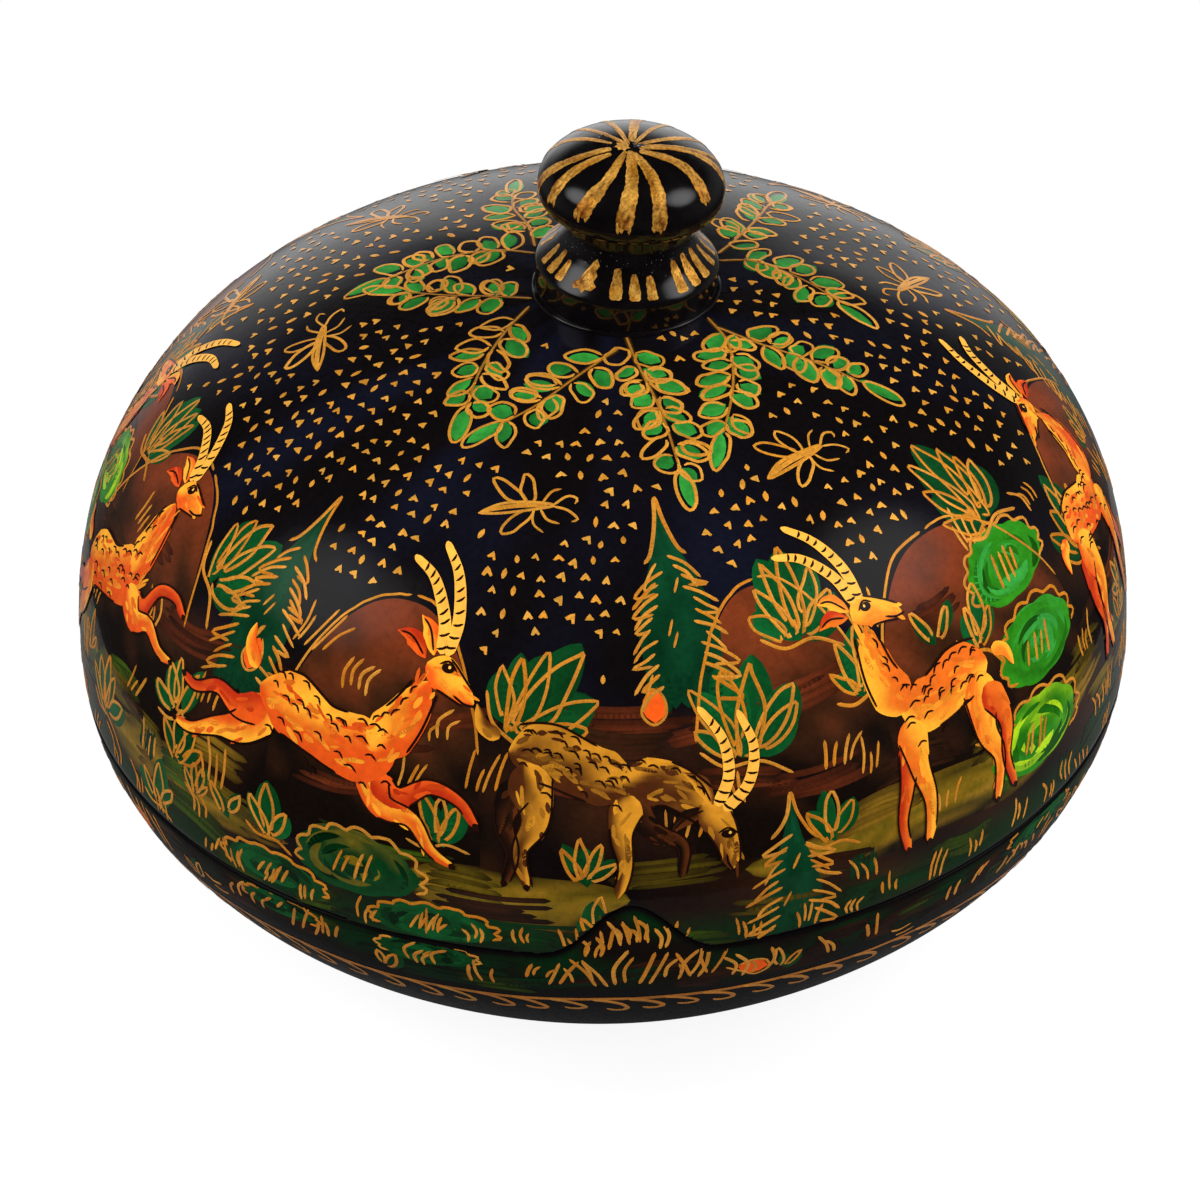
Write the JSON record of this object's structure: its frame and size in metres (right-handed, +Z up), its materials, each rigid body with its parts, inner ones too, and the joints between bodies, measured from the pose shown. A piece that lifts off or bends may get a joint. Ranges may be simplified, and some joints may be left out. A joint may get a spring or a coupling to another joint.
{
  "type": "papier-mache box",
  "caption": "Round domed papier-mache keepsake box with a keyed lift-off lid, a turned knob and a painted, gilded and lacquered finish.",
  "frame": {"origin": "centre of the flat base, on the shell's own axis, at the surface that the box stands on", "axes": "+Z up along the shell's axis and the way the lid lifts; -Y is the front, where the seam has its peak; +X is the right"},
  "size_m": [0.15, 0.15, 0.1163],
  "materials": {
    "bowl_lacquer": "gloss",
    "lid_lacquer": "gloss",
    "collar_board": "satin",
    "knob_gilding": "gloss",
    "peg_wood": "matte",
    "patch_paper": "satin"
  },
  "bodies": {
    "bowl": {"bowl_shell": "bowl_lacquer", "bowl_collar": "collar_board"},
    "lid": {"lid_shell": "lid_lacquer", "knob_stem": "knob_gilding", "knob_cap": "knob_gilding", "knob_peg": "peg_wood", "peg_patch": "patch_paper"}
  },
  "joints": [
    {"name": "lid_lift", "type": "slide", "parent": "bowl", "child": "lid", "axis": [0, 0, 1], "range_m": [0, 0.12]}
  ]
}
